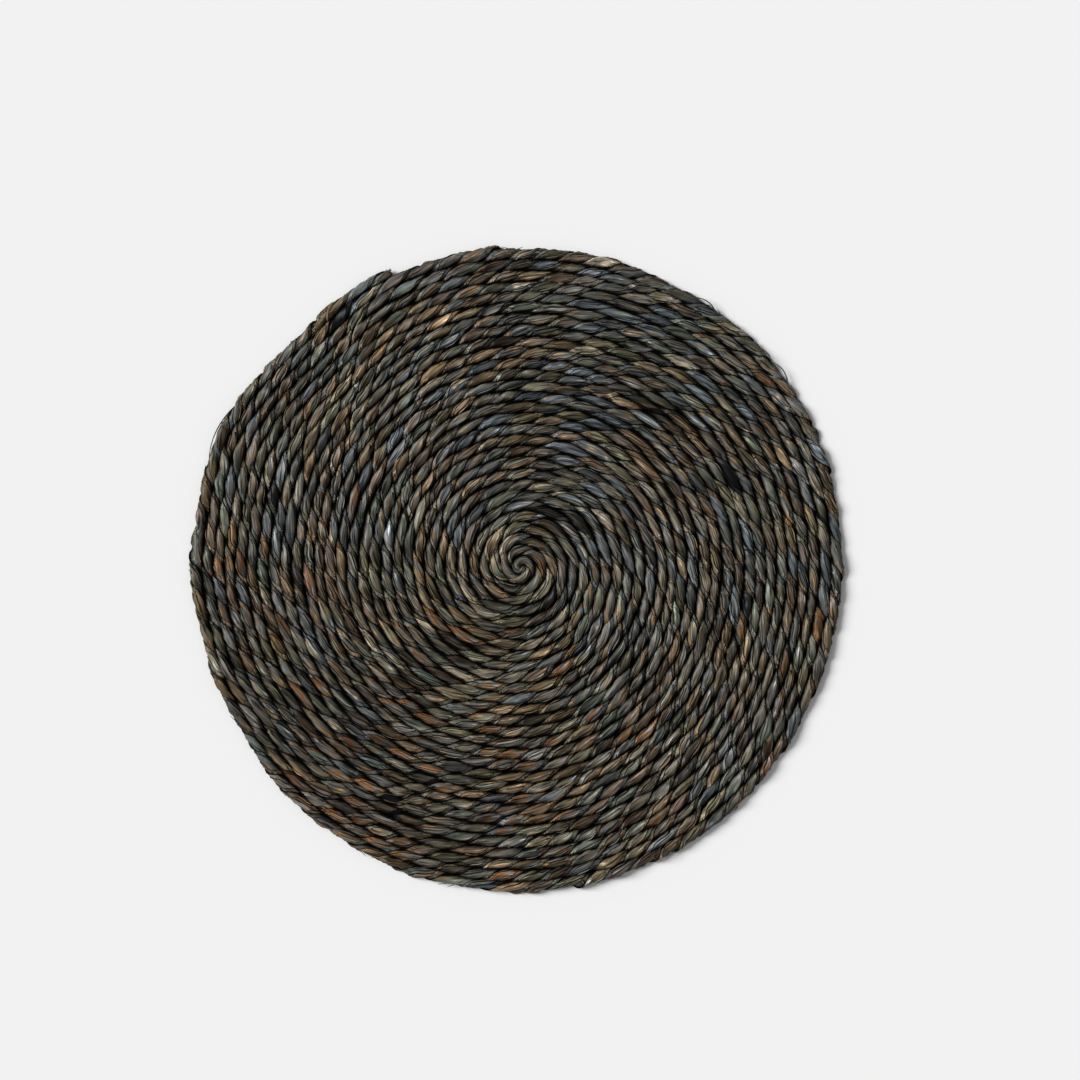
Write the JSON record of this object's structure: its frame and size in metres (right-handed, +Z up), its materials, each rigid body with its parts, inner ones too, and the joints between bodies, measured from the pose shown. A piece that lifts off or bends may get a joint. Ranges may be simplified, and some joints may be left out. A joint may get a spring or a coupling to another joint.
{
  "type": "round seagrass rope placemat",
  "caption": "Round flat placemat wound in a spiral from twisted seagrass rope, with ridged turns, a slightly uneven edge and a drawn-in rope end.",
  "frame": {"origin": "middle of the mat's outline, on the table under it", "axes": "+Z up, out of the mat's top; X and Y in the plane of the mat, the rope's cut end lying at about 114 degrees from +X towards +Y"},
  "size_m": [0.3824, 0.378, 0.006],
  "materials": {
    "seagrass": "dry matt plant fibre with a faint waxy sheen, in mixed grey-green, olive, taupe and rust"
  },
  "bodies": {
    "root": {"coiled_mat": "seagrass"}
  },
  "joints": []
}
